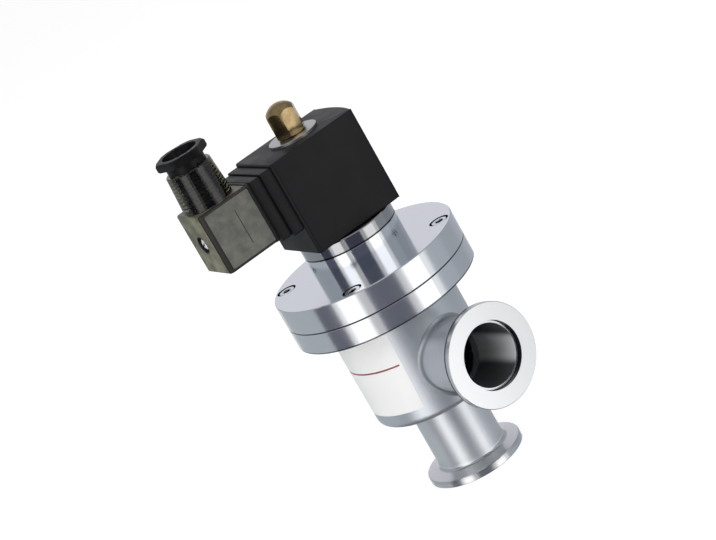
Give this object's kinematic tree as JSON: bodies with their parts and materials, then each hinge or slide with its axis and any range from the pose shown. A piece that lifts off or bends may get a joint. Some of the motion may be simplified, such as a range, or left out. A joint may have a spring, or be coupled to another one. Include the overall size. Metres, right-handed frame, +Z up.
{
  "type": "vacuum solenoid valve",
  "caption": "Right-angle vacuum solenoid valve: small-flange ports below and at the side, bolted bonnet, coil with cap nut and plug connector with cable gland.",
  "frame": {"origin": "centre of the outlet flange sealing face, the lowest face of the valve", "axes": "+Z up the axis of the valve towards the cap nut, +X out of the side port, plug connector towards -Y"},
  "size_m": [0.088, 0.0912, 0.1684],
  "materials": {
    "blasted_stainless": "bead-blasted stainless steel",
    "turned_stainless": "fine-turned and polished stainless steel",
    "drawn_stainless": "drawn, non-magnetic stainless tube",
    "magnetic_stainless": "ground magnetic stainless steel",
    "coil_resin": "satin black moulding resin",
    "smoky_polycarbonate": "smoky translucent polycarbonate",
    "black_nylon": "moulded black nylon",
    "brass": "turned brass",
    "tinned_brass": "tin-plated brass",
    "zinc_steel": "zinc-plated steel",
    "spring_steel": "stainless spring wire",
    "bronze": "sintered bronze",
    "copper": "copper",
    "enamelled_copper": "enamelled copper wire",
    "yoke_steel": "pressed mild steel",
    "fluororubber": "black fluororubber",
    "nitrile_rubber": "black nitrile rubber",
    "lamp_plastic": "tinted lamp on a small board"
  },
  "bodies": {
    "valve": {"valve_body": "blasted_stainless", "side_port": "blasted_stainless", "outlet_port": "turned_stainless", "bonnet": "turned_stainless", "bonnet_screws": "zinc_steel", "bonnet_seal": "fluororubber", "clamp_ring": "turned_stainless", "tube_seal": "fluororubber", "armature_tube": "drawn_stainless", "pole_piece": "magnetic_stainless", "shading_ring": "copper", "guide_bush": "bronze", "return_spring": "spring_steel", "nut_washer": "zinc_steel"},
    "plunger": {"plunger": "magnetic_stainless", "valve_disc": "turned_stainless", "disc_seal": "fluororubber", "seal_retainer": "turned_stainless", "retainer_screw": "zinc_steel"},
    "coil": {"coil_housing": "coil_resin", "coil_bobbin": "black_nylon", "coil_winding": "enamelled_copper", "coil_yoke": "yoke_steel", "terminal_blades": "tinned_brass"},
    "connector": {"connector_gasket": "nitrile_rubber", "connector_housing": "smoky_polycarbonate", "terminal_block": "black_nylon", "terminal_screws": "zinc_steel", "indicator_lamp": "lamp_plastic", "gland_seal": "nitrile_rubber", "gland_washer": "black_nylon"},
    "connector_screw": {"connector_screw": "zinc_steel"},
    "gland_nut": {"gland_nut": "black_nylon"},
    "cap_nut": {"cap_nut": "brass"}
  },
  "joints": [
    {"name": "plunger_lift", "type": "slide", "parent": "valve", "child": "plunger", "axis": [0, 0, 1], "range_m": [0, 0.007], "stiffness_N_per_m": 600, "springref_m": -0.008, "deforming": ["return_spring"]},
    {"name": "coil_turn", "type": "hinge", "parent": "valve", "child": "coil", "pos_m": [0, 0, 0.1292], "axis": [0, 0, 1], "continuous": true},
    {"name": "cap_nut_turn", "type": "hinge", "parent": "valve", "child": "cap_nut", "pos_m": [0, 0, 0.155], "axis": [0, 0, 1], "continuous": true},
    {"name": "connector_pull", "type": "slide", "parent": "coil", "child": "connector", "axis": [-0.1123, -0.9937, 0], "range_m": [0, 0.018]},
    {"name": "connector_screw_turn", "type": "hinge", "parent": "connector", "child": "connector_screw", "pos_m": [-0.0055, -0.04869, 0.1342], "axis": [-0.1123, -0.9937, 0], "continuous": true},
    {"name": "gland_nut_turn", "type": "hinge", "parent": "connector", "child": "gland_nut", "pos_m": [-0.00475, -0.04198, 0.165], "axis": [0, 0, 1], "continuous": true}
  ]
}
